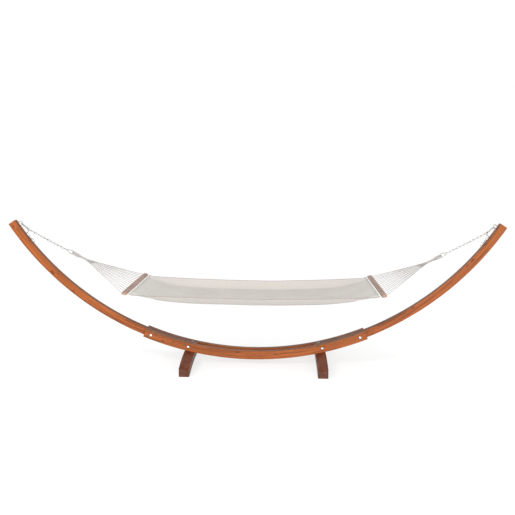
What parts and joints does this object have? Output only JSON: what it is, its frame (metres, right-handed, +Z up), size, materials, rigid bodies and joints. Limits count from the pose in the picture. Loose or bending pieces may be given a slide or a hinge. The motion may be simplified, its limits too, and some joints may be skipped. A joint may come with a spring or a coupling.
{
  "type": "hammock on arc stand",
  "caption": "Spreader bar hammock hung by chains and snap hooks from a curved laminated timber stand with two arched feet.",
  "frame": {"origin": "on the floor under the middle of the stand", "axes": "+X along the hammock, +Y across it away from the usual viewing side, +Z up"},
  "size_m": [4.1, 1.02, 1.1821],
  "materials": {
    "larch": "stained and oiled, satin",
    "foot_timber": "dark stained, satin",
    "bar_timber": "pale oiled hardwood",
    "cord": "twisted cotton and polyester cord",
    "canvas": "woven cotton canvas",
    "zinc": "bright zinc plated"
  },
  "bodies": {
    "stand": {"arm_left": "larch", "arm_right": "larch", "rail_front": "larch", "rail_back": "larch", "foot_left": "foot_timber", "foot_right": "foot_timber", "rail_bolts": "zinc", "rail_washers": "zinc", "rail_nuts": "zinc", "foot_bolts": "zinc", "foot_washers": "zinc", "foot_nuts": "zinc", "eye_bolt_left": "zinc", "eye_bolt_right": "zinc", "eye_washers": "zinc", "eye_nuts": "zinc"},
    "hammock": {"snap_hook_left": "zinc", "snap_pin_left": "zinc", "chain_left": "zinc", "clew_ring_left": "zinc", "clew_bundle_left": "cord", "clew_whipping_left": "cord", "clew_cords_left": "cord", "spreader_bar_left": "bar_timber", "snap_hook_right": "zinc", "snap_pin_right": "zinc", "chain_right": "zinc", "clew_ring_right": "zinc", "clew_bundle_right": "cord", "clew_whipping_right": "cord", "clew_cords_right": "cord", "spreader_bar_right": "bar_timber", "bed": "canvas"},
    "gate_left": {"snap_gate_left": "zinc"},
    "spare_left": {"spare_chain_left": "zinc"},
    "gate_right": {"snap_gate_right": "zinc"},
    "spare_right": {"spare_chain_right": "zinc"}
  },
  "joints": [
    {"name": "hammock_swing", "type": "hinge", "parent": "stand", "child": "hammock", "pos_m": [0, 0, 1.14818], "axis": [1, 0, 0], "range_deg": [-30, 30]},
    {"name": "snap_gate_left", "type": "hinge", "parent": "hammock", "child": "gate_left", "pos_m": [-1.90943, 0.0105, 1.11886], "axis": [0.6293, 0, 0.7771], "range_deg": [0, 15], "stiffness_Nm_per_rad": 0.05, "springref_deg": -5.73},
    {"name": "snap_gate_right", "type": "hinge", "parent": "hammock", "child": "gate_right", "pos_m": [1.90943, -0.0105, 1.11886], "axis": [-0.6293, 0, 0.7771], "range_deg": [0, 15], "stiffness_Nm_per_rad": 0.05, "springref_deg": -5.73},
    {"name": "spare_chain_left", "type": "hinge", "parent": "hammock", "child": "spare_left", "pos_m": [-1.89092, 0, 1.09788], "axis": [0, -1, 0], "range_deg": [0, 20]},
    {"name": "spare_chain_right", "type": "hinge", "parent": "hammock", "child": "spare_right", "pos_m": [1.89092, 0, 1.09788], "axis": [0, 1, 0], "range_deg": [0, 20]}
  ]
}
